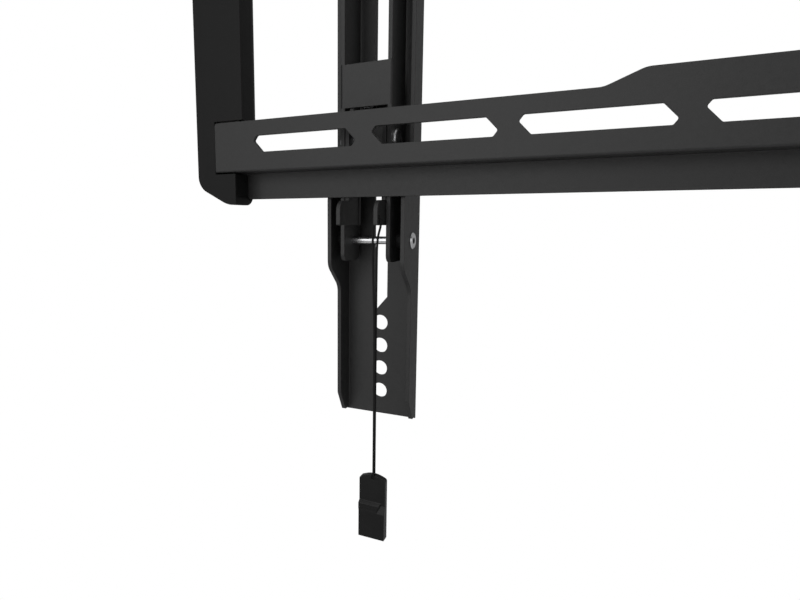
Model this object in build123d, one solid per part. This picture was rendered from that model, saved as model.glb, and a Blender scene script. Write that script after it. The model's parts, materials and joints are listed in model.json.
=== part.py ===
from build123d import *
import math
import os

# Tilting wall bracket for a flat screen. All sizes are in millimetres.
# X runs along the wall, Y points from the wall to the screen and Z is up.
# The origin is on the wall plane, at the middle of the wall frame.

# Steel sheet and running clearances
sheet = 2.0
bend_outside = 2.5
bend_inside = 0.5
crisp_outside = 1.0
crisp_inside = 0.3
pin_gap = 0.05
slide_gap = 0.4
seat_gap = 0.2

# Wall frame
frame_width = 499.0
frame_height = 201.2
rail_depth = 14.0
rail_plate_height = 24.5
rail_lip_drop = 13.1
rail_edge_inset = 3.2
rail_plate_inset = 11.3
rail_lip_inset = 18.5
rail_raise = 5.7
rail_raise_flat = 93.0
rail_raise_run = 13.7
rail_corner = 1.4

# Screw slots of the rails
slot_count = 7
slot_pitch = 62.5
slot_length = 54.8
slot_height = 8.0
slot_slant = 5.1
slot_tip_back = 1.9
slot_tip_height = 2.5
slot_rise = 13.2
slot_corner = 1.0

# Side covers and the tie straps inside them
cover_width = 28.3
cover_swell = 2.0
cover_corner_run = 18.3
cover_corner_rise = 9.3
cover_side_round = 9.0
cover_end_round = 14.0
cover_edge = 6.2
cover_skin = 2.0
cover_end_skin = 4.2
cover_front = 1.6
cover_gap = 0.5
cover_plate_gap = 0.75
cover_plate_end_gap = 0.15
cover_notch = 5.0
cover_rib_inset = 0.4
cover_rib = 1.8
strap_width = 12.0
strap_inset = 13.0

# Screen arms
arm_inset = 88.4
arm_width = 40.4
arm_clear = 5.5
arm_shallow = 12.8
arm_margin = 12.7
arm_flange_step = 0.9
lobe_before_axle = 22.4
lobe_past_axle = 13.1
lobe_run = 11.0
lobe_round = 7.0
arm_chamfer_height = 12.0
arm_chamfer_depth = 6.0
screen_hole_span = 400.0
screen_hole_pitch = 12.5
screen_hole_rows = 4
screen_hole_diameter = 8.2
arm_slot_width = 7.4
arm_slot_slant = 8.5
arm_slot_margin = 14.0

# Tilt pivot
axle_setback = 12.2
axle_latch_gap = 0.6
axle_diameter = 4.0
axle_head_diameter = 8.0
axle_head_height = 0.7
axle_recess_diameter = 3.0
axle_recess_depth = 2.2
spacer_diameter = 9.0
tilt_max = 15.0

# Hook brackets
bracket_width = 25.8
bracket_depth = 19.0
bracket_gap = 0.5
bracket_tail = 10.2
bracket_round = 3.6
plate_height = 19.9
plate_rail_gap = 4.4
plate_flank = 2.8
seat_drop = 0.9
seat_setback = 0.8
seat_depth = 7.7
seat_reach = 4.4
seat_slit = 0.5
hook_rise = 10.6
hook_reach = 7.2
hook_grip = 6.0
hook_round = 5.0

# Latches, drawn at rest under the lip of the lower rail
latch_gap = 1.7
toe_height = 11.7
toe_reach = 10.4
toe_round = 5.0
latch_seat_gap = 0.7
latch_neck_gap = 1.4
latch_window_rise = 16.8
latch_neck_width = 14.0
latch_tab_width = 10.0
latch_travel = 5.0
latch_rivet_diameter = 4.0
latch_rivet_rises = (40.0, 20.0)
latch_rivet_setback = 7.4
latch_rivet_head = 11.0
latch_rivet_head_height = 1.2
latch_rivet_clench = 6.4
latch_rivet_clench_height = 0.8

# Springs of the latches
spring_room = 16.4
spring_diameter = 7.0
spring_wire = 0.9
spring_turns = 5.0
spring_stud_diameter = 4.6
spring_stud_height = 3.0

# Tilt stays
stay_pivot_height = 17.0
stay_width = 13.0
stay_from_bracket = 1.5
stay_rivet_diameter = 5.0
stay_rivet_head = 9.0
stay_rivet_head_height = 1.2
stay_bolt_diameter = 6.0
stay_bolt_head = 11.0
stay_bolt_head_height = 2.6
stay_washer_diameter = 13.0
stay_washer_height = 1.3
stay_nut_flats = 10.0
stay_nut_height = 5.0
stay_slot_gap = 0.3

# Pull cords and tabs
cord_diameter = 1.1
cord_hole_diameter = 2.6
cord_hole_rise = 3.6
cord_hole_inset = 2.6
cord_gap = 0.15
cord_lean = 0.45
cord_spread = 2.15
cord_spread_drop = 14.1
cord_pair_height = 70.5
cord_long_bend = 250.0
cord_short_bend = 100.0
cord_drop = 122.2
tab_width = 13.6
tab_height = 33.8
tab_shift = 0.4
tab_back = 1.7
tab_front = 1.3
tab_pad_front = 2.4
tab_shoulder = 2.3
tab_ridge_drop = 15.7
tab_ridge_height = 2.8
tab_ridge_ramp = 1.3
tab_ridge_cut = 2.0
tab_ridge_slant = 2.2
tab_crown = 0.3
tab_ridge_reach = 1.4
tab_socket = 5.0

# Places worked out from the sizes above
rail_edge = frame_height / 2 - rail_edge_inset
rail_plate_low = rail_edge - rail_lip_drop
rail_plate_high = rail_plate_low - rail_plate_height
rail_end = frame_width / 2 - rail_plate_inset
rail_lip_end = frame_width / 2 - rail_lip_inset
cover_inner = frame_width / 2 - cover_width
cover_depth = rail_depth + cover_swell
arm_offset = frame_width / 2 - arm_inset
bracket_face = rail_depth + bracket_gap
bracket_back = bracket_face + bracket_depth
bracket_half = bracket_width / 2
bracket_inside = bracket_half - sheet
bracket_top = rail_edge + hook_rise
plate_far = rail_plate_high - plate_rail_gap
plate_near = plate_far - plate_height
latch_half = bracket_inside - slide_gap
latch_inside = latch_half - sheet
latch_low = -(rail_edge + latch_gap + toe_height)
latch_toe = bracket_face - toe_reach
latch_rivet_heights = [latch_low + rise for rise in latch_rivet_rises]
latch_rivet_from_wall = bracket_face + latch_rivet_setback
seat_top = -plate_far - seat_drop
seat_near = bracket_face + sheet + seat_setback
seat_far = seat_near + seat_depth
spring_from_wall = (seat_near + seat_far) / 2
latch_back = seat_far + latch_neck_gap + sheet
latch_side_top = seat_top - sheet - latch_seat_gap
latch_top = seat_top + spring_room + sheet
axle_height = latch_low - latch_travel - axle_latch_gap - axle_diameter / 2
axle_from_wall = bracket_face + axle_setback
bracket_low = axle_height - bracket_tail
arm_face = bracket_back + arm_clear
arm_half = arm_width / 2
arm_inside = arm_half - sheet
arm_end = screen_hole_span / 2 + arm_margin
arm_slot_end = screen_hole_span / 2 - (screen_hole_rows - 1) * screen_hole_pitch - arm_slot_margin
lobe_low = -axle_height - lobe_before_axle
lobe_high = -axle_height + lobe_past_axle
stay_end_height = -axle_height
stay_inner = bracket_half + stay_from_bracket
stay_outer = stay_inner + sheet
stay_length = stay_end_height - stay_pivot_height
stay_height = stay_pivot_height - axle_height
leg_middle = (latch_inside + latch_half) / 2
cord_hole_height = latch_low + cord_hole_rise
cord_hole_from_wall = latch_toe + cord_hole_inset
tab_top = latch_low - cord_drop


def outline(corners):
    """Closed face through (a, b, corner radius) points."""
    path = FilletPolyline(
        *[(a, b) for a, b, radius in corners],
        radius=[radius for a, b, radius in corners],
        close=True,
    )
    return make_face(path)


def along_x(face, start, end):
    """Solid of a Y-Z face between two places along X."""
    return extrude(Plane.YZ.offset(start) * face, end - start)


def along_y(face, start, end):
    """Solid of an X-Z face between two distances from the wall."""
    return extrude(Plane.XZ.offset(-end) * face, end - start)


def along_z(face, start, end):
    """Solid of an X-Y face between two heights."""
    return extrude(Plane.XY.offset(start) * face, end - start)


def block(x, y, z):
    """Rectangular solid from (low, high) pairs."""
    middle = [(low + high) / 2 for low, high in (x, y, z)]
    return Pos(*middle) * Box(x[1] - x[0], y[1] - y[0], z[1] - z[0])


def rod(diameter, x, y, z):
    """Round bar along X between the two places in x."""
    centre = Pos((x[0] + x[1]) / 2, y, z)
    return centre * Rot(0, 90, 0) * Cylinder(diameter / 2, x[1] - x[0])


def ring(outer, inner, x, y, z):
    """Washer or spacer along X."""
    return rod(outer, x, y, z) - rod(inner, (x[0] - 1, x[1] + 1), y, z)


def slot_x(width, x, y, low, high):
    """Upright round-ended slot cutter along X."""
    face = Pos(y, (low + high) / 2) * Rot(0, 0, 90) * SlotOverall(high - low, width)
    return along_x(face, x[0], x[1])


def make_wall_rail():
    """Lower rail: a perforated wall plate, a floor and a lip that drops."""
    low = -rail_plate_low
    floor = low + sheet
    top = -rail_plate_high + rail_raise
    section = outline(
        [
            (0, low, crisp_outside),
            (rail_depth - sheet, low, crisp_inside),
            (rail_depth - sheet, -rail_edge, 0),
            (rail_depth, -rail_edge, 0),
            (rail_depth, floor, crisp_outside),
            (sheet, floor, crisp_inside),
            (sheet, top, 0),
            (0, top, 0),
        ]
    )
    rail = along_x(section, -rail_end, rail_end)
    half_flat = rail_raise_flat / 2
    half_foot = half_flat + rail_raise_run
    edge = -rail_plate_high
    front = outline(
        [
            (-rail_end, low - rail_lip_drop, 0),
            (rail_end, low - rail_lip_drop, 0),
            (rail_end, edge, rail_corner),
            (half_foot, edge, 9),
            (half_flat, top, 9),
            (-half_flat, top, 9),
            (-half_foot, edge, 9),
            (-rail_end, edge, rail_corner),
        ]
    )
    rail = rail & along_y(front, 0, rail_depth)
    for side in (-1, 1):
        ends = sorted((side * rail_lip_end, side * (rail_end + 1)))
        rail -= block(ends, (sheet, rail_depth + 1), (-rail_edge - 1, floor + 1))
        rail -= block(ends, (0, rail_depth + 1), (-rail_edge - 1, low))
    half_long = slot_length / 2
    half_high = slot_height / 2
    slot = outline(
        [
            (-half_long + slot_tip_back, half_high, slot_corner),
            (-half_long, half_high - slot_tip_height, slot_corner),
            (-half_long + slot_slant, -half_high, slot_corner),
            (half_long - slot_tip_back, -half_high, slot_corner),
            (half_long, -half_high + slot_tip_height, slot_corner),
            (half_long - slot_slant, half_high, slot_corner),
        ]
    )
    cutter = along_y(slot, -1, sheet + 1)
    for number in range(slot_count):
        x = (number - (slot_count - 1) / 2) * slot_pitch
        rail -= Pos(x, 0, low + slot_rise) * cutter
    return rail


def cover_corner(inset, end_inset):
    """Two corner points of the cover's lower end, moved in by its walls."""
    outer = frame_width / 2
    tall = frame_height / 2
    slope = cover_corner_rise / cover_corner_run
    lean = inset * math.hypot(1, slope)
    end_x = outer - cover_corner_run + (end_inset - lean) / slope
    side_z = -tall + (cover_corner_run - inset) * slope + lean
    return [
        (end_x, -tall + end_inset, cover_end_round - inset),
        (outer - inset, side_z, cover_side_round - inset),
    ]


def cover_block(inset, end_inset, low, high, edge):
    """Outer or inner body of a cover, rounded towards the front."""
    end = frame_height / 2 - end_inset
    lower = cover_corner(inset, end_inset)
    upper = [(x, -z, radius) for x, z, radius in reversed(lower)]
    inner = cover_inner + inset
    face = outline([(inner, -end, 0)] + lower + upper + [(inner, end, 0)])
    body = along_y(face, low, high)
    return fillet(body.faces().sort_by(Axis.Y)[-1].edges(), edge)


def make_side_cover():
    """Right cover: a hollow moulding that joins and hides the rail ends."""
    tall = frame_height / 2
    cover = cover_block(0, 0, 0, cover_depth, cover_edge)
    room = (cover_skin, cover_depth - cover_front)
    cover -= cover_block(cover_skin, cover_end_skin, *room, cover_edge - cover_skin)
    plate_x = (cover_inner - 1, rail_end + cover_plate_end_gap)
    lip_x = (cover_inner - 1, cover_inner + cover_notch)
    lip_room = (cover_inner - 1, rail_lip_end + cover_gap)
    rib_start = cover_inner + cover_notch + cover_rib_inset
    lip_y = (rail_depth - sheet - cover_gap, rail_depth + cover_gap)
    floor = rail_plate_low - sheet - cover_gap
    under = rail_plate_low + cover_plate_gap
    for side in (-1, 1):
        heights = sorted((side * under, side * (rail_plate_high - cover_plate_gap)))
        cover -= block(plate_x, (-1, cover_skin), heights)
        heights = sorted((side * floor, side * (tall + 1)))
        cover -= block(lip_x, (-1, lip_y[1]), heights)
        heights = sorted((side * (rail_edge - cover_plate_gap), side * (tall + 1)))
        cover -= block(lip_x, (-1, cover_depth + 1), heights)
        heights = sorted((side * floor, side * under))
        cover -= block(lip_room, (cover_skin, lip_y[1]), heights)
        heights = sorted((side * floor, side * (rail_edge + slide_gap)))
        cover -= block(lip_room, lip_y, heights)
        heights = sorted((side * under, side * (tall - cover_end_skin / 2)))
        cover += block((rib_start, rib_start + cover_rib), (cover_skin / 2, lip_y[0]), heights)
    return cover


def make_tie_strap():
    """Right flat steel bar that ties the two rails together in the cover."""
    outer = frame_width / 2 - strap_inset
    reach = rail_plate_low - sheet - crisp_inside - pin_gap
    return block((outer - strap_width, outer), (sheet, 2 * sheet), (-reach, reach))


def arm_side():
    """Side view of a screen arm: shallow flanges with a deep lobe at each pivot."""
    shallow = arm_face - arm_shallow
    lower = [
        (arm_face, -arm_end, 0),
        (arm_face - sheet, -arm_end, 0),
        (arm_face - sheet, -arm_end + arm_flange_step, 0),
        (shallow + arm_chamfer_depth, -arm_end + arm_flange_step, 1),
        (shallow, -arm_end + arm_chamfer_height, 3),
        (shallow, -lobe_high - lobe_run, lobe_round),
        (bracket_face, -lobe_high, lobe_round),
        (bracket_face, -lobe_low, lobe_round),
        (shallow, -lobe_low + lobe_run, lobe_round),
    ]
    upper = [(y, -z, radius) for y, z, radius in reversed(lower)]
    return outline(lower + upper)


def make_screen_arm():
    """Folded channel that is bolted to the back of the screen."""
    section = outline(
        [
            (-arm_half, bracket_face, 0),
            (-arm_inside, bracket_face, 0),
            (-arm_inside, arm_face - sheet, crisp_inside),
            (arm_inside, arm_face - sheet, crisp_inside),
            (arm_inside, bracket_face, 0),
            (arm_half, bracket_face, 0),
            (arm_half, arm_face, crisp_outside),
            (-arm_half, arm_face, crisp_outside),
        ]
    )
    arm = along_z(section, -arm_end, arm_end)
    arm = arm & along_x(arm_side(), -arm_half, arm_half)
    web = (arm_face - sheet - 1, arm_face + 1)
    for side in (-1, 1):
        for row in range(screen_hole_rows):
            z = side * (screen_hole_span / 2 - row * screen_hole_pitch)
            arm -= along_y(Pos(0, z) * Circle(screen_hole_diameter / 2), *web)
    half = arm_slot_width / 2
    slot = outline(
        [
            (half, -arm_slot_end, 0.8),
            (half, arm_slot_end + arm_slot_slant, 0.8),
            (-half, arm_slot_end, 0.8),
            (-half, -arm_slot_end - arm_slot_slant, 0.8),
        ]
    )
    arm -= along_y(slot, *web)
    bore = axle_diameter + 2 * pin_gap
    arm -= rod(bore, (-arm_half - 1, arm_half + 1), axle_from_wall, axle_height)
    arm -= slot_x(
        stay_bolt_diameter + 2 * stay_slot_gap,
        (arm_inside - 1, arm_half + 1),
        axle_from_wall,
        stay_end_height - stay_slide() - stay_bolt_diameter / 2 - stay_slot_gap,
        stay_end_height + stay_bolt_diameter / 2 + stay_slot_gap,
    )
    return arm


def stay_slide():
    """How far the stay's bolt runs down the arm at full tilt."""
    tilt = math.radians(tilt_max)
    lean = math.asin(stay_height / stay_length * math.sin(tilt))
    reach = stay_height * math.cos(tilt) + stay_length * math.cos(lean)
    return stay_height + stay_length - reach


def bracket_side():
    """Side view of a hook bracket, with its hook over the upper lip."""
    throat_low = rail_depth - sheet - slide_gap
    throat_roof = rail_edge + seat_gap
    toe = throat_low - hook_reach
    return outline(
        [
            (bracket_face, bracket_low, bracket_round),
            (bracket_back, bracket_low, bracket_round),
            (bracket_back, bracket_top, hook_round),
            (toe, bracket_top, hook_round),
            (toe, rail_edge - hook_grip, 1),
            (throat_low, rail_edge - hook_grip, 1),
            (throat_low, throat_roof, 0.4),
            (bracket_face, throat_roof, 0.2),
        ]
    )


def make_spring_seat():
    """Tongue lanced from the left flange and folded in, with a stud on it."""
    foot = seat_top - bend_outside - 2 * seat_slit
    section = outline(
        [
            (-bracket_half, foot, 0),
            (-bracket_half, seat_top, bend_outside),
            (seat_reach, seat_top, 0.6),
            (seat_reach, seat_top - sheet, 0.6),
            (-bracket_inside, seat_top - sheet, bend_inside),
            (-bracket_inside, foot, 0),
        ]
    )
    seat = along_y(section, seat_near, seat_far)
    stud = Cylinder(spring_stud_diameter / 2, spring_stud_height)
    return seat + Pos(0, spring_from_wall, seat_top + spring_stud_height / 2 - 0.5) * stud


def make_hook_bracket():
    """Forked bracket that hangs on the upper rail and carries the arm."""
    side_face = bracket_side()
    bracket = along_x(side_face, bracket_inside, bracket_half)
    bracket += along_x(side_face, -bracket_half, -bracket_inside)
    front = (bracket_face, bracket_face + plate_flank)
    web_section = outline(
        [
            (-bracket_half, front[1], 0),
            (-bracket_half, front[0], crisp_outside),
            (bracket_half, front[0], crisp_outside),
            (bracket_half, front[1], 0),
            (bracket_inside, front[1], 0),
            (bracket_inside, front[0] + sheet, crisp_inside),
            (-bracket_inside, front[0] + sheet, crisp_inside),
            (-bracket_inside, front[1], 0),
        ]
    )
    wide = (-bracket_half - 1, bracket_half + 1)
    for low, high in ((-plate_far, -plate_near), (plate_near, plate_far)):
        bracket -= block(wide, (front[0] - 1, front[1]), (low, high))
        bracket += along_z(web_section, low, high)
    window_low = seat_top - bend_outside - seat_slit
    window_high = seat_top + bracket_half + seat_reach
    bracket -= block(
        (-bracket_half - 1, -bracket_inside + 1),
        (seat_near - seat_slit, seat_far + seat_slit),
        (window_low, window_high),
    )
    bracket += make_spring_seat()
    bracket -= rod(axle_diameter + 2 * pin_gap, wide, axle_from_wall, axle_height)
    for z in latch_rivet_heights:
        bracket -= rod(latch_rivet_diameter + 2 * pin_gap, wide, latch_rivet_from_wall, z)
    right = (0, bracket_half + 1)
    size = stay_rivet_diameter + 2 * pin_gap
    bracket -= rod(size, right, axle_from_wall, stay_pivot_height)
    return bracket


def latch_side():
    """Side view of a latch: an upright plate with a toe towards the wall."""
    return outline(
        [
            (latch_toe, latch_low, 0.6),
            (latch_back, latch_low, 1.5),
            (latch_back, latch_top, 0),
            (bracket_face, latch_top, 0),
            (bracket_face, latch_low + toe_height, crisp_inside),
            (latch_toe, latch_low + toe_height, toe_round),
        ]
    )


def make_latch():
    """Sliding latch: its toes lie under the lower rail's lip."""
    back = latch_back
    section = outline(
        [
            (-latch_half, latch_toe, 0),
            (-latch_inside, latch_toe, 0),
            (-latch_inside, back - sheet, bend_inside),
            (latch_inside, back - sheet, bend_inside),
            (latch_inside, latch_toe, 0),
            (latch_half, latch_toe, 0),
            (latch_half, back, bend_outside),
            (-latch_half, back, bend_outside),
        ]
    )
    latch = along_z(section, latch_low, latch_side_top)
    latch = latch & along_x(latch_side(), -latch_half, latch_half)
    open_web = latch_inside - 0.5
    window = (latch_low - 1, latch_low + latch_window_rise)
    latch -= block((-open_web, open_web), (back - sheet - 1, back + 1), window)
    neck = latch_neck_width / 2
    tab = latch_tab_width / 2
    neck_face = outline(
        [
            (-neck, latch_side_top - 3, 0),
            (neck, latch_side_top - 3, 0),
            (neck, latch_top - 8, 2),
            (tab, latch_top - 4, 2),
            (tab, latch_top, 0),
            (-tab, latch_top, 0),
            (-tab, latch_top - 4, 2),
            (-neck, latch_top - 8, 2),
        ]
    )
    hook = outline(
        [
            (back - sheet, latch_side_top - 3, 0),
            (back, latch_side_top - 3, 0),
            (back, latch_top, bend_outside),
            (seat_near, latch_top, 0.6),
            (seat_near, latch_top - sheet, 0.6),
            (back - sheet, latch_top - sheet, bend_inside),
        ]
    )
    head = along_x(hook, -neck, neck)
    latch += head & along_y(neck_face, seat_near - 1, back + 1)
    wide = (-latch_half - 1, latch_half + 1)
    for z in latch_rivet_heights:
        half = latch_rivet_diameter / 2 + 2 * pin_gap
        latch -= slot_x(
            2 * half, wide, latch_rivet_from_wall, z - half, z + half + latch_travel
        )
    latch -= rod(cord_hole_diameter, (0, latch_half + 1), cord_hole_from_wall, cord_hole_height)
    return latch


def make_latch_rivets():
    """Four short rivets that guide a latch in its bracket."""
    rivets = []
    clench = latch_inside - pin_gap - latch_rivet_clench_height
    for side in (-1, 1):
        for z in latch_rivet_heights:
            y = latch_rivet_from_wall
            head_start = bracket_half + pin_gap
            shank = rod(latch_rivet_diameter, (clench, head_start + 0.5), y, z)
            head = rod(
                latch_rivet_head, (head_start, head_start + latch_rivet_head_height), y, z
            )
            head = chamfer(head.faces().sort_by(Axis.X)[-1].edges(), 0.5)
            inner = rod(
                latch_rivet_clench, (clench, clench + latch_rivet_clench_height), y, z
            )
            rivet = shank + head + inner
            rivets.append(rivet if side > 0 else mirror(rivet, about=Plane.YZ))
    return rivets


def make_latch_spring():
    """Coil spring between the bracket's seat and the latch's top tab."""
    low = seat_top + spring_wire / 2 + seat_gap / 2
    high = latch_top - sheet - spring_wire / 2 - seat_gap / 2
    radius = (spring_diameter - spring_wire) / 2
    path = Helix(pitch=(high - low) / spring_turns, height=high - low, radius=radius)
    section = Plane(origin=path @ 0, z_dir=path % 0) * RegularPolygon(spring_wire / 2, 8)
    coil = sweep(section, path=path, is_frenet=True)
    return Pos(0, spring_from_wall, low) * coil


def make_pivot_axle():
    """Headed tilt axle through the arm and the bracket."""
    reach = arm_half + 2 * pin_gap
    y, z = axle_from_wall, axle_height
    axle = rod(axle_diameter, (-reach, reach), y, z)
    for side in (-1, 1):
        ends = sorted((side * reach, side * (reach + axle_head_height)))
        head = rod(axle_head_diameter, ends, y, z)
        outer = head.faces().sort_by(Axis.X)[-1 if side > 0 else 0]
        axle += chamfer(outer.edges(), 0.5)
        recess = sorted(
            (
                side * (reach + axle_head_height - axle_recess_depth),
                side * (reach + axle_head_height + 1),
            )
        )
        axle -= rod(axle_recess_diameter, recess, y, z)
    return axle


def make_axle_spacers():
    """Two spacers that centre the bracket in the arm."""
    bore = axle_diameter + 2 * pin_gap
    ends = (bracket_half + pin_gap, arm_inside - pin_gap)
    right = ring(spacer_diameter, bore, ends, axle_from_wall, axle_height)
    return [right, mirror(right, about=Plane.YZ)]


def make_tilt_stay():
    """Flat link between the bracket and the bolt in the arm's slot."""
    y = axle_from_wall
    bar = Pos(y, (stay_pivot_height + stay_end_height) / 2) * Rot(0, 0, 90)
    stay = along_x(bar * SlotCenterToCenter(stay_length, stay_width), stay_inner, stay_outer)
    wide = (stay_inner - 1, stay_outer + 1)
    stay -= rod(stay_rivet_diameter + 2 * pin_gap, wide, y, stay_pivot_height)
    stay -= rod(stay_bolt_diameter + 2 * pin_gap, wide, y, stay_end_height)
    return stay


def make_stay_rivet():
    """Shouldered rivet that the stay turns on."""
    y, z = axle_from_wall, stay_pivot_height
    clench = bracket_inside - pin_gap - stay_rivet_head_height
    head = stay_outer + pin_gap
    rivet = rod(stay_rivet_diameter, (clench, head + 0.5), y, z)
    rivet += rod(stay_rivet_head, (bracket_half + pin_gap, stay_inner - pin_gap), y, z)
    rivet += rod(stay_rivet_head, (clench, bracket_inside - pin_gap), y, z)
    cap = rod(stay_rivet_head, (head, head + stay_rivet_head_height), y, z)
    rivet += chamfer(cap.faces().sort_by(Axis.X)[-1].edges(), 0.4)
    return rivet


def make_stay_bolt():
    """Button-headed bolt that ties the stay to the arm."""
    y, z = axle_from_wall, stay_end_height
    head_end = stay_inner - pin_gap
    bolt = rod(stay_bolt_head, (head_end - stay_bolt_head_height, head_end), y, z)
    bolt = fillet(bolt.faces().sort_by(Axis.X)[0].edges(), stay_bolt_head_height * 0.6)
    tip = arm_half + pin_gap + stay_washer_height + stay_nut_height + 1.2
    shank = rod(stay_bolt_diameter, (head_end - 0.5, tip), y, z)
    bolt += chamfer(shank.faces().sort_by(Axis.X)[-1].edges(), 0.6)
    return bolt


def make_stay_washers():
    """Friction washer inside the arm and steel washer outside it."""
    bore = stay_bolt_diameter + 2 * pin_gap
    y, z = axle_from_wall, stay_end_height
    inside = (stay_outer + pin_gap, arm_inside - pin_gap)
    outside = (arm_half + pin_gap, arm_half + pin_gap + stay_washer_height)
    return [ring(stay_washer_diameter, bore, ends, y, z) for ends in (inside, outside)]


def make_stay_nut():
    """Lock nut that sets the friction of the tilt."""
    start = arm_half + 2 * pin_gap + stay_washer_height
    face = RegularPolygon(stay_nut_flats / 2, 6, major_radius=False)
    face -= Circle(stay_bolt_diameter / 2 + pin_gap)
    nut = extrude(face, stay_nut_height)
    tip = Cylinder(stay_nut_flats * 0.56, stay_nut_height * 2)
    tip = chamfer(tip.edges(), 0.9)
    nut = nut & (Pos(0, 0, 0) * tip)
    return Pos(start, axle_from_wall, stay_end_height) * Rot(0, 90, 0) * nut


def make_pull_cord():
    """Cord doubled through the latch's leg, with both ends in the tab."""
    y = cord_hole_from_wall
    sag = (cord_hole_diameter - cord_diameter) / 2 - cord_gap
    z = cord_hole_height - sag
    side = cord_diameter / 2 + cord_gap
    pair_x = leg_middle - cord_lean
    pair_end = tab_top - tab_socket / 2
    pair_top = pair_end + cord_pair_height
    points = [
        (pair_x, y - side, pair_end),
        (pair_x, y - side, pair_top),
        (leg_middle - cord_spread, y - cord_gap, z - cord_spread_drop),
        (latch_inside - side - cord_gap, y, z),
        (latch_half + side, y, z),
        (latch_half + side, y, latch_low - 0.3),
        (leg_middle + 0.35, y, latch_low - 4.9),
        (leg_middle - 0.2, y + cord_gap, latch_low - 15.0),
        (pair_x, y + side, pair_top),
        (pair_x, y + side, pair_end),
    ]
    fold = cord_diameter * 1.1
    radii = [cord_long_bend, cord_short_bend, fold, fold]
    radii = radii + [3.0, 20.0, cord_short_bend, cord_long_bend]
    print("cord radii", radii)
    path = FilletPolyline(*points, radius=radii)
    print("cord length", round(path.length, 1))
    section = Plane(origin=path @ 0, z_dir=path % 0) * Circle(cord_diameter / 2)
    return sweep(section, path=path)


def make_pull_tab():
    """Moulded grip: thin at the top, thicker below a finger ridge."""
    half = tab_width / 2
    low = tab_top - tab_height
    front = outline(
        [
            (-half, low, 0.6),
            (half, low, 0.6),
            (half, tab_top - tab_shoulder, 1.5),
            (0, tab_top + tab_crown, 12),
            (-half, tab_top - tab_shoulder, 1.5),
        ]
    )
    ridge = tab_top - tab_ridge_drop
    ridge_low = ridge - tab_ridge_height - tab_ridge_ramp
    reach = tab_front + tab_ridge_reach
    plate = outline(
        [
            (-tab_pad_front, low, 0.8),
            (tab_back, low, 0.8),
            (tab_back, tab_top + tab_crown, 0.6),
            (-tab_front, tab_top + tab_crown, 0.6),
            (-tab_front, ridge, 0),
            (-tab_pad_front, ridge_low, 0),
        ]
    )
    step = outline(
        [
            (0, ridge + tab_ridge_ramp, 0),
            (-tab_front, ridge + tab_ridge_ramp, 0),
            (-reach, ridge, 0.5),
            (-reach, ridge - tab_ridge_height, 0.5),
            (-tab_pad_front, ridge_low, 0),
            (0, ridge_low, 0),
        ]
    )
    step_front = outline(
        [
            (-half, ridge_low, 0),
            (half - tab_ridge_cut - tab_ridge_slant, ridge_low, 0),
            (half - tab_ridge_cut, ridge + tab_ridge_ramp, 0),
            (-half, ridge + tab_ridge_ramp, 0),
        ]
    )
    tab = along_y(front, -reach, tab_back) & along_x(plate, -half, half)
    tab += along_x(step, -half, half) & along_y(step_front, -reach, 0)
    wide = cord_diameter / 2 + cord_gap
    deep = cord_diameter + 2 * cord_gap
    bottom = tab_top - tab_socket / 2 - cord_gap
    sides = (tab_shift - wide, tab_shift + wide)
    tab -= block(sides, (-tab_front - 1, deep), (bottom, tab_top + 2 * tab_crown))
    return Pos(leg_middle - cord_lean - tab_shift, cord_hole_from_wall, 0) * tab


def save(name, shape):
    """Write one named sub-part."""
    if isinstance(shape, list):
        shape = Compound(children=shape)
    export_step(shape, "parts/" + name + ".step")


def place(shape, x):
    """Copy of a shape, or of a list of shapes, moved along the wall."""
    if isinstance(shape, list):
        return [Pos(x, 0, 0) * item for item in shape]
    return Pos(x, 0, 0) * shape


os.makedirs("parts", exist_ok=True)

lower_rail = make_wall_rail()
save("lower_wall_rail", lower_rail)
save("upper_wall_rail", mirror(lower_rail, about=Plane.XY))

right_cover = make_side_cover()
save("right_side_cover", right_cover)
save("left_side_cover", mirror(right_cover, about=Plane.YZ))

right_strap = make_tie_strap()
save("right_tie_strap", right_strap)
save("left_tie_strap", mirror(right_strap, about=Plane.YZ))

arm_unit = {
    "screen_arm": make_screen_arm(),
    "hook_bracket": make_hook_bracket(),
    "pivot_axle": make_pivot_axle(),
    "axle_spacers": make_axle_spacers(),
    "latch": make_latch(),
    "latch_rivets": make_latch_rivets(),
    "latch_spring": make_latch_spring(),
    "tilt_stay": make_tilt_stay(),
    "stay_rivet": make_stay_rivet(),
    "stay_bolt": make_stay_bolt(),
    "stay_washers": make_stay_washers(),
    "stay_nut": make_stay_nut(),
    "pull_cord": make_pull_cord(),
    "pull_tab": make_pull_tab(),
}
for side, x in (("left", -arm_offset), ("right", arm_offset)):
    for name, shape in arm_unit.items():
        save(side + "_" + name, place(shape, x))
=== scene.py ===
import json
import math

import bmesh
import bpy
from mathutils import Matrix, Vector


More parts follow.
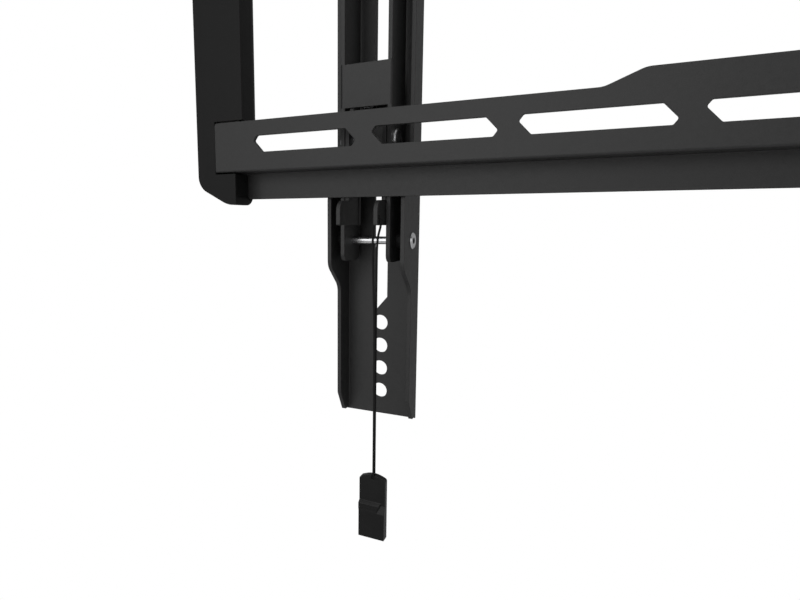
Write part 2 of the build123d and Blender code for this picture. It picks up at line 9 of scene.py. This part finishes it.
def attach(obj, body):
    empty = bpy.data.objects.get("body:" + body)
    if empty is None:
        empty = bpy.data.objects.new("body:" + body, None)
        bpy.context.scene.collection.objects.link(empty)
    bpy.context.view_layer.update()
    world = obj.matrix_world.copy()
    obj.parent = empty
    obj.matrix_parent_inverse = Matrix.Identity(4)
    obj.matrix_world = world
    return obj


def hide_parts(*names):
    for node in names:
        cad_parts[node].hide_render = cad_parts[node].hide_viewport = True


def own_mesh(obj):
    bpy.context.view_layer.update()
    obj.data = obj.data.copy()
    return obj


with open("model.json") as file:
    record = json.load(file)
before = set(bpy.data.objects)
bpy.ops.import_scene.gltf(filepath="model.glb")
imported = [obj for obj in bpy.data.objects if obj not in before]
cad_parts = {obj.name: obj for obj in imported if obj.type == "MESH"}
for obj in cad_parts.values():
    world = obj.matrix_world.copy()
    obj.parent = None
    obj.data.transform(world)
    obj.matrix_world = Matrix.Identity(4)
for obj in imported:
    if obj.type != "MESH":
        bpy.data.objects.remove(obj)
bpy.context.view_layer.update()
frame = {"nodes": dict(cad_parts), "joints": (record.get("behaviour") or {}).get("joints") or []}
nodes = frame["nodes"]

# Camera
# It looks from the wall's side at the lower left corner of the frame.
# Its three directions give the photograph's turn and slight downward tilt.
camera = bpy.data.objects.new("camera", bpy.data.cameras.new("camera"))
bpy.context.scene.collection.objects.link(camera)
camera_place = Vector((-0.0585, -0.233, -0.1091))
right = Vector((0.90212, 0.43149, -0.00036))
up = Vector((-0.06092, 0.12821, 0.98987))
back = Vector((0.42717, -0.89296, 0.14195))
turn = Matrix((right, up, back)).transposed().to_4x4()
camera.matrix_world = Matrix.Translation(camera_place) @ turn
camera.data.sensor_width = 36.0
camera.data.lens = 24.58
camera.data.shift_x = 0.0806
camera.data.clip_start = 0.01
camera.data.clip_end = 60.0
bpy.context.scene.camera = camera

# Powder-coated steel: rails, tie straps, arms, hook brackets, latches and stays
# Steel sheet in satin black with a fine dry texture, a little lighter at the peaks.
# Its grain and softened edges are a node group that the other black finishes share.
grain = bpy.data.node_groups.new("surface_grain", "ShaderNodeTree")
for name, value in (("Fine", 1500.0), ("Coarse", 260.0), ("Depth", 0.1), ("Edge", 0.0004)):
    socket = grain.interface.new_socket(name, in_out="INPUT", socket_type="NodeSocketFloat")
    socket.default_value = value
grain.interface.new_socket("Normal", in_out="OUTPUT", socket_type="NodeSocketVector")
grain.interface.new_socket("Value", in_out="OUTPUT", socket_type="NodeSocketFloat")
group_in = grain.nodes.new("NodeGroupInput")
group_out = grain.nodes.new("NodeGroupOutput")
place = grain.nodes.new("ShaderNodeTexCoord")
fine = grain.nodes.new("ShaderNodeTexNoise")
coarse = grain.nodes.new("ShaderNodeTexNoise")
mixed = grain.nodes.new("ShaderNodeMath")
edge = grain.nodes.new("ShaderNodeBevel")
bump = grain.nodes.new("ShaderNodeBump")
fine.inputs["Detail"].default_value = 3.0
coarse.inputs["Detail"].default_value = 2.0
mixed.operation = "ADD"
edge.samples = 4
bump.inputs["Distance"].default_value = 0.0002
grain.links.new(place.outputs["Object"], fine.inputs["Vector"])
grain.links.new(place.outputs["Object"], coarse.inputs["Vector"])
grain.links.new(group_in.outputs["Fine"], fine.inputs["Scale"])
grain.links.new(group_in.outputs["Coarse"], coarse.inputs["Scale"])
grain.links.new(fine.outputs["Fac"], mixed.inputs[0])
grain.links.new(coarse.outputs["Fac"], mixed.inputs[1])
grain.links.new(group_in.outputs["Depth"], bump.inputs["Strength"])
grain.links.new(mixed.outputs[0], bump.inputs["Height"])
grain.links.new(group_in.outputs["Edge"], edge.inputs["Radius"])
grain.links.new(edge.outputs["Normal"], bump.inputs["Normal"])
grain.links.new(bump.outputs["Normal"], group_out.inputs["Normal"])
grain.links.new(mixed.outputs[0], group_out.inputs["Value"])
grain_low, grain_high = 0.7, 1.3
rough_spread = 0.05
# A mix node's colours share their names with other sockets, so they go by number.
colour_a, colour_b, colour_out = 6, 7, 2


def surface(name, low, high, rough, shine, fine_scale, coarse_scale, depth, edge_size):
    """Coated or moulded finish: two close grey tones, a grain and softened edges."""
    material = bpy.data.materials.new(name)
    material.use_nodes = True
    tree = material.node_tree
    shader = tree.nodes["Principled BSDF"]
    shader.inputs["Specular IOR Level"].default_value = shine
    grained = tree.nodes.new("ShaderNodeGroup")
    grained.node_tree = grain
    grained.inputs["Fine"].default_value = fine_scale
    grained.inputs["Coarse"].default_value = coarse_scale
    grained.inputs["Depth"].default_value = depth
    grained.inputs["Edge"].default_value = edge_size
    tone = tree.nodes.new("ShaderNodeMapRange")
    colour = tree.nodes.new("ShaderNodeMix")
    gloss = tree.nodes.new("ShaderNodeMapRange")
    for spread in (tone, gloss):
        spread.inputs["From Min"].default_value = grain_low
        spread.inputs["From Max"].default_value = grain_high
        tree.links.new(grained.outputs["Value"], spread.inputs["Value"])
    colour.data_type = "RGBA"
    colour.inputs[colour_a].default_value = (low, low, low, 1)
    colour.inputs[colour_b].default_value = (high, high, high, 1)
    gloss.inputs["To Min"].default_value = rough - rough_spread
    gloss.inputs["To Max"].default_value = rough + rough_spread
    tree.links.new(tone.outputs["Result"], colour.inputs[0])
    tree.links.new(colour.outputs[colour_out], shader.inputs["Base Color"])
    tree.links.new(gloss.outputs["Result"], shader.inputs["Roughness"])
    tree.links.new(grained.outputs["Normal"], shader.inputs["Normal"])
    return material


def dress(material, *endings):
    """Give the material to every node whose name has one of the endings."""
    for name, node in nodes.items():
        if name.endswith(endings):
            node.data.materials.clear()
            node.data.materials.append(material)


coat = surface(
    "powder_coat",
    low=0.018,
    high=0.025,
    rough=0.5,
    shine=0.4,
    fine_scale=2200.0,
    coarse_scale=420.0,
    depth=0.16,
    edge_size=0.0004,
)
dress(coat, "wall_rail", "tie_strap", "screen_arm", "hook_bracket", "latch", "tilt_stay")

# Moulded covers on the ends of the rails, and spacers on the tilt axles
# Black plastic, darker and smoother than the steel, with a spark-eroded grain.
moulded = surface(
    "moulded_black",
    low=0.0075,
    high=0.0100,
    rough=0.46,
    shine=0.14,
    fine_scale=1300.0,
    coarse_scale=160.0,
    depth=0.08,
    edge_size=0.0005,
)
dress(moulded, "side_cover", "axle_spacers")

# Pull tabs, moulded in black plastic at the ends of the cords
# Glossier than the covers, so that the finger ridge catches the light.
grip = surface(
    "grip_black",
    low=0.0022,
    high=0.0032,
    rough=0.36,
    shine=0.28,
    fine_scale=1300.0,
    coarse_scale=160.0,
    depth=0.06,
    edge_size=0.0004,
)
dress(grip, "pull_tab")

# Fasteners: the latch rivets, and the stay's rivet, bolt, washers and nut
# Steel with bright zinc and faint rings round each axis, which runs along X.
zinc = bpy.data.materials.new("bright_zinc")
zinc.use_nodes = True
tree = zinc.node_tree
shader = tree.nodes["Principled BSDF"]
place = tree.nodes.new("ShaderNodeTexCoord")
rings = tree.nodes.new("ShaderNodeTexWave")
blush = tree.nodes.new("ShaderNodeTexNoise")
tint = tree.nodes.new("ShaderNodeMix")
gloss = tree.nodes.new("ShaderNodeMapRange")
bump = tree.nodes.new("ShaderNodeBump")
tint.name = "tint"
rings.bands_direction = "X"
rings.inputs["Scale"].default_value = 900.0
rings.inputs["Distortion"].default_value = 1.5
blush.inputs["Scale"].default_value = 300.0
tint.data_type = "RGBA"
tint.inputs[colour_a].default_value = (0.62, 0.63, 0.65, 1)
tint.inputs[colour_b].default_value = (0.80, 0.80, 0.80, 1)
gloss.inputs["To Min"].default_value = 0.16
gloss.inputs["To Max"].default_value = 0.32
bump.inputs["Strength"].default_value = 0.06
bump.inputs["Distance"].default_value = 0.0001
shader.inputs["Metallic"].default_value = 1.0
tree.links.new(place.outputs["Object"], rings.inputs["Vector"])
tree.links.new(place.outputs["Object"], blush.inputs["Vector"])
tree.links.new(blush.outputs["Fac"], tint.inputs[0])
tree.links.new(tint.outputs[colour_out], shader.inputs["Base Color"])
tree.links.new(blush.outputs["Fac"], gloss.inputs["Value"])
tree.links.new(gloss.outputs["Result"], shader.inputs["Roughness"])
tree.links.new(rings.outputs["Fac"], bump.inputs["Height"])
tree.links.new(bump.outputs["Normal"], shader.inputs["Normal"])
dress(zinc, "latch_rivets", "stay_rivet", "stay_bolt", "stay_washers", "stay_nut")

# Tilt axles, steel pins with hollow riveted ends
# The same zinc, with painted shade in the bore of each end: a dark, non-metal disc round the
# line that the arm tilts about.
for joint in frame["joints"]:
    if joint["name"] == "right_tilt":
        arm_offset, axle_y, axle_z = joint["pos_m"]
bore_shade_radius = 0.00152
axle_zinc = zinc.copy()
axle_zinc.name = "axle_zinc"
tree = axle_zinc.node_tree
shader = tree.nodes["Principled BSDF"]
tint = tree.nodes["tint"]
place = tree.nodes.new("ShaderNodeTexCoord")
shifted = tree.nodes.new("ShaderNodeVectorMath")
flat = tree.nodes.new("ShaderNodeVectorMath")
radius = tree.nodes.new("ShaderNodeVectorMath")
bore_shade_mask = tree.nodes.new("ShaderNodeMath")
outside_bore_shade = tree.nodes.new("ShaderNodeMath")
bore_painted_shade = tree.nodes.new("ShaderNodeMix")
shifted.operation = "SUBTRACT"
shifted.inputs[1].default_value = (0.0, axle_y, axle_z)
flat.operation = "MULTIPLY"
flat.inputs[1].default_value = (0.0, 1.0, 1.0)
radius.operation = "LENGTH"
bore_shade_mask.operation = "LESS_THAN"
bore_shade_mask.inputs[1].default_value = bore_shade_radius
outside_bore_shade.operation = "SUBTRACT"
outside_bore_shade.inputs[0].default_value = 1.0
bore_painted_shade.data_type = "RGBA"
# Painted shade: this dark colour inside the bore radius stands in for the shade in each hollow
# axle end.
bore_painted_shade.inputs[colour_b].default_value = (0.012, 0.012, 0.012, 1)
tree.links.new(place.outputs["Object"], shifted.inputs[0])
tree.links.new(shifted.outputs["Vector"], flat.inputs[0])
tree.links.new(flat.outputs["Vector"], radius.inputs[0])
tree.links.new(radius.outputs["Value"], bore_shade_mask.inputs[0])
tree.links.new(bore_shade_mask.outputs[0], outside_bore_shade.inputs[1])
tree.links.new(bore_shade_mask.outputs[0], bore_painted_shade.inputs[0])
tree.links.new(tint.outputs[colour_out], bore_painted_shade.inputs[colour_a])
tree.links.new(bore_painted_shade.outputs[colour_out], shader.inputs["Base Color"])
tree.links.new(outside_bore_shade.outputs[0], shader.inputs["Metallic"])
dress(axle_zinc, "pivot_axle")

# Latch springs, coils of round wire with closed ends, greyer than the fasteners
# Each stands on its bracket's seat and rides with the bracket.
wire = zinc.copy()
wire.name = "spring_wire"
tint = wire.node_tree.nodes["tint"]
tint.inputs[colour_a].default_value = (0.30, 0.30, 0.31, 1)
tint.inputs[colour_b].default_value = (0.45, 0.45, 0.46, 1)
seat = -0.0563
coil_top = -0.0399
coil_y = 0.02115
coil_radius = 0.00305
wire_radius = 0.00045
end_gap = 0.0001
closed_turns = 1
open_turns = 5
turn_steps = 24
wire_sides = 10
coil_low = seat + wire_radius + end_gap
coil_rise = coil_top - wire_radius - end_gap - coil_low
closed_rise = 2.0 * wire_radius
open_rise = coil_rise - 2 * closed_turns * closed_rise
stretches = (
    (closed_turns, closed_rise),
    (open_turns, open_rise),
    (closed_turns, closed_rise),
)
for side, offset in (("left", -arm_offset), ("right", arm_offset)):
    shape = bmesh.new()
    start = Matrix.Translation((offset + coil_radius, coil_y, coil_low))
    bmesh.ops.create_circle(
        shape,
        segments=wire_sides,
        radius=wire_radius,
        matrix=start @ Matrix.Rotation(math.pi / 2, 4, "X"),
    )
    section = shape.edges[:]
    for turns, rise in stretches:
        steps = turns * turn_steps
        spun = bmesh.ops.spin(
            shape,
            geom=section,
            cent=(offset, coil_y, 0.0),
            axis=(0.0, 0.0, 1.0),
            dvec=(0.0, 0.0, rise / steps),
            angle=2 * math.pi * turns,
            steps=steps,
        )
        section = [item for item in spun["geom_last"] if isinstance(item, bmesh.types.BMEdge)]
    bmesh.ops.holes_fill(shape, edges=shape.edges, sides=wire_sides)
    for face in shape.faces:
        face.smooth = len(face.verts) == 4
    bmesh.ops.recalc_face_normals(shape, faces=shape.faces)
    mesh = bpy.data.meshes.new(side + "_coil")
    shape.to_mesh(mesh)
    shape.free()
    mesh.materials.append(wire)
    coil = bpy.data.objects.new(side + "_coil", mesh)
    bpy.context.scene.collection.objects.link(coil)
    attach(coil, side + "_bracket_body")
    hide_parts(side + "_latch_spring")
    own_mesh(coil)

# Pull cords, braided in black
# Each is one cord doubled through its latch's leg, with both ends held in the tab.
braid = surface(
    "black_braid",
    low=0.007,
    high=0.010,
    rough=0.75,
    shine=0.2,
    fine_scale=4200.0,
    coarse_scale=1800.0,
    depth=0.2,
    edge_size=0.0,
)
cord_diameter = 0.0011
route = [
    (0.00905, 0.0060, -0.2355),
    (0.00905, 0.0060, -0.1650),
    (0.00790, 0.0063, -0.1360),
    (0.00725, 0.0066, -0.1200),
    (0.00755, 0.0067, -0.1104),
    (0.00765, 0.0067, -0.1077),
    (0.01125, 0.0067, -0.1077),
    (0.01125, 0.0067, -0.1106),
    (0.0109, 0.0067, -0.1123),
    (0.0099, 0.0067, -0.1157),
    (0.0094, 0.0068, -0.1210),
    (0.0093, 0.0069, -0.1270),
    (0.00905, 0.0074, -0.1650),
    (0.00905, 0.0074, -0.2355),
]
for side, offset in (("left", -arm_offset), ("right", arm_offset)):
    curve = bpy.data.curves.new(side + "_cord", "CURVE")
    curve.dimensions = "3D"
    spline = curve.splines.new("NURBS")
    spline.points.add(len(route) - 1)
    for point, (x, y, z) in zip(spline.points, route):
        point.co = (x + offset, y, z, 1)
    spline.order_u = 3
    spline.use_endpoint_u = True
    spline.resolution_u = 12
    curve.bevel_depth = cord_diameter / 2
    curve.bevel_resolution = 3
    cord = bpy.data.objects.new(side + "_cord", curve)
    bpy.context.scene.collection.objects.link(cord)
    curve.materials.append(braid)
    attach(cord, side + "_latch_body")
    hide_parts(side + "_pull_cord")

# Floor
# Pale and matte, and plain white where the camera sees it.
floor_half = 4.0
floor_height = -0.34
floor_mesh = bpy.data.meshes.new("floor")
shape = bmesh.new()
bmesh.ops.create_grid(shape, x_segments=1, y_segments=1, size=floor_half)
shape.to_mesh(floor_mesh)
shape.free()
floor = bpy.data.objects.new("floor", floor_mesh)
floor.location = (0.0, 0.0, floor_height)
bpy.context.scene.collection.objects.link(floor)
pale = bpy.data.materials.new("pale_floor")
pale.use_nodes = True
tree = pale.node_tree
tree.nodes.clear()
ray = tree.nodes.new("ShaderNodeLightPath")
matte = tree.nodes.new("ShaderNodeBsdfDiffuse")
matte.inputs["Color"].default_value = (0.8, 0.8, 0.8, 1)
white = tree.nodes.new("ShaderNodeEmission")
mix = tree.nodes.new("ShaderNodeMixShader")
out = tree.nodes.new("ShaderNodeOutputMaterial")
tree.links.new(ray.outputs["Is Camera Ray"], mix.inputs[0])
tree.links.new(matte.outputs[0], mix.inputs[1])
tree.links.new(white.outputs[0], mix.inputs[2])
tree.links.new(mix.outputs[0], out.inputs[0])
floor_mesh.materials.append(pale)

# Surroundings
# White to the camera, a soft grey room to everything else.
room_strength = 0.34
world = bpy.data.worlds.new("studio")
bpy.context.scene.world = world
world.use_nodes = True
tree = world.node_tree
tree.nodes.clear()
ray = tree.nodes.new("ShaderNodeLightPath")
room = tree.nodes.new("ShaderNodeBackground")
white = tree.nodes.new("ShaderNodeBackground")
mix = tree.nodes.new("ShaderNodeMixShader")
out = tree.nodes.new("ShaderNodeOutputWorld")
for backdrop, strength in ((room, room_strength), (white, 1.0)):
    backdrop.inputs["Color"].default_value = (1, 1, 1, 1)
    backdrop.inputs["Strength"].default_value = strength
tree.links.new(ray.outputs["Is Camera Ray"], mix.inputs[0])
tree.links.new(room.outputs[0], mix.inputs[1])
tree.links.new(white.outputs[0], mix.inputs[2])
tree.links.new(mix.outputs[0], out.inputs[0])

# Lights
# A broad key from behind the camera, a weaker one above, and a faint side fill.
for name, spot, aim, size, power in (
    ("key", (-0.55, -1.5, 0.08), (-0.15, 0.0, -0.1), 1.4, 9.8),
    ("top", (-0.2, -0.7, 1.0), (-0.15, 0.0, -0.2), 0.6, 3.5),
    ("fill", (1.6, -0.9, 0.1), (-0.15, 0.0, -0.1), 1.2, 2.5),
):
    light = bpy.data.lights.new(name, "AREA")
    light.size = size
    light.energy = power
    lamp = bpy.data.objects.new(name, light)
    bpy.context.scene.collection.objects.link(lamp)
    lamp.location = spot
    lamp.rotation_euler = (Vector(aim) - Vector(spot)).to_track_quat("-Z", "Y").to_euler()

# Picture
# Standard tones.
bpy.context.scene.view_settings.view_transform = "Standard"
